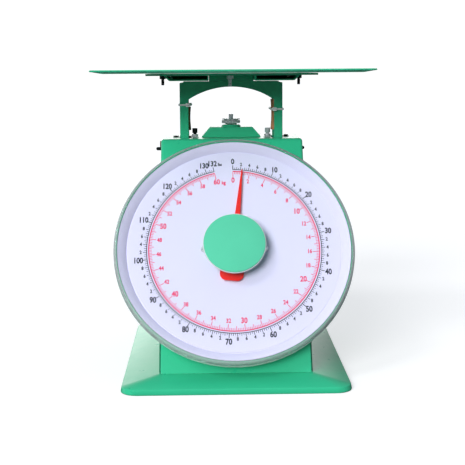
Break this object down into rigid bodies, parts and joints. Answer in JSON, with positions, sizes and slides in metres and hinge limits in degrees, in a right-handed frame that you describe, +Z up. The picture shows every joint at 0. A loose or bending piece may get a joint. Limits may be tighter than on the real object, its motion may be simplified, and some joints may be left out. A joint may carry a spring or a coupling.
{
  "type": "spring dial bench scale",
  "caption": "Spring platform scale: a flat tray on an arched yoke above a sheet steel case, with a round leaning dial, a pointer and a knurled zero nut.",
  "frame": {"origin": "on the standing surface, below the middle of the base", "axes": "+Z up; the dial faces -Y; +X to the right of a person who reads the dial"},
  "size_m": [0.302, 0.304, 0.3349],
  "materials": {
    "paint": "gloss enamel, mid green",
    "zinc": "bright zinc plate",
    "dark_steel": "blackened",
    "brass": "machined",
    "dial_white": "satin white with a printed scale",
    "pointer_red": "satin red",
    "clear": "clear moulded plastic",
    "cardboard": "brown packing board",
    "nylon": "natural nylon"
  },
  "bodies": {
    "case": {"base_skirt": "paint", "body_shell": "paint", "rear_cover": "paint", "cover_screw_left": "zinc", "cover_screw_right": "zinc", "dial_drum": "paint", "dial_pan": "dial_white", "dial_cover": "clear", "cover_badge": "paint", "dial_mount": "dark_steel", "dial_screw_left": "zinc", "dial_screw_right": "zinc", "shaft_bush": "brass", "shaft_stirrup": "zinc", "rack_roller": "brass", "link_shaft_upper": "dark_steel", "link_shaft_lower": "dark_steel", "zero_bracket": "paint", "zero_boss": "paint", "zero_washer": "zinc", "roof_nut_left": "zinc", "roof_nut_right": "zinc", "roof_bolt_left": "dark_steel", "roof_bolt_right": "zinc", "roof_screw_left": "dark_steel", "roof_screw_right": "dark_steel", "side_nut_left": "brass", "side_nut_right": "brass"},
    "platform": {"arch_yoke": "paint", "rack_arm": "zinc", "load_crossbar": "zinc", "link_pin_upper": "zinc", "link_pin_lower": "zinc", "support_plate": "paint", "support_channel_left": "paint", "support_channel_right": "paint", "centre_plate": "paint", "centre_bolt": "zinc", "centre_nut": "zinc", "tray_bolt_left": "dark_steel", "tray_bolt_right": "dark_steel", "tray_nut_left": "dark_steel", "tray_nut_right": "dark_steel", "tray": "paint", "packing_strip_left": "cardboard", "packing_strip_right": "cardboard", "cable_tie_left": "nylon", "cable_tie_right": "nylon", "spring_left": "zinc", "spring_right": "zinc"},
    "indicator": {"pointer": "pointer_red", "pointer_hub": "brass", "pointer_shaft": "zinc", "pinion": "brass"},
    "rack": {"rack": "brass"},
    "upper_link": {"check_link_upper": "zinc"},
    "lower_link": {"check_link_lower": "zinc"},
    "zero_carriage": {"zero_screw": "zinc", "spring_yoke": "zinc"},
    "thumb_nut": {"zero_nut": "zinc"}
  },
  "joints": [
    {"name": "platform_slide", "type": "slide", "parent": "case", "child": "platform", "axis": [0, 0, -1], "range_m": [-0.00027, 0.01538], "stiffness_N_per_m": 37600, "springref_m": -0.0009, "deforming": ["spring_left", "spring_right"]},
    {"name": "rack_slide", "type": "slide", "parent": "case", "child": "rack", "axis": [0, -0.5075, -0.8616], "range_m": [-0.00035, 0.0179]},
    {"name": "pointer_turn", "type": "hinge", "parent": "case", "child": "indicator", "pos_m": [0, -0.0754, 0.141], "axis": [0, 0.8616, -0.5075], "range_deg": [-6.2, 341.2]},
    {"name": "upper_link_swing", "type": "hinge", "parent": "case", "child": "upper_link", "pos_m": [0, 0.104, 0.2385], "axis": [1, 0, 0], "range_deg": [-0.4, 15.4]},
    {"name": "lower_link_swing", "type": "hinge", "parent": "case", "child": "lower_link", "pos_m": [0, 0.104, 0.096], "axis": [1, 0, 0], "range_deg": [-0.4, 15.4]},
    {"name": "zero_nut_turn", "type": "hinge", "parent": "case", "child": "thumb_nut", "pos_m": [0, 0.058, 0.275], "axis": [0, 0, 1], "range_deg": [-541, 541]},
    {"name": "zero_lift", "type": "slide", "parent": "case", "child": "zero_carriage", "axis": [0, 0, 1], "range_m": [-0.0015, 0.0015]}
  ],
  "couplings": [
    {"joint": "rack_slide", "follows": "platform_slide", "ratio": 1.1606},
    {"joint": "pointer_turn", "follows": "platform_slide", "rad_per_m": 386.86},
    {"joint": "upper_link_swing", "follows": "platform_slide", "rad_per_m": 17.241},
    {"joint": "lower_link_swing", "follows": "platform_slide", "rad_per_m": 17.241},
    {"joint": "zero_nut_turn", "follows": "zero_lift", "rad_per_m": -6283.2}
  ]
}
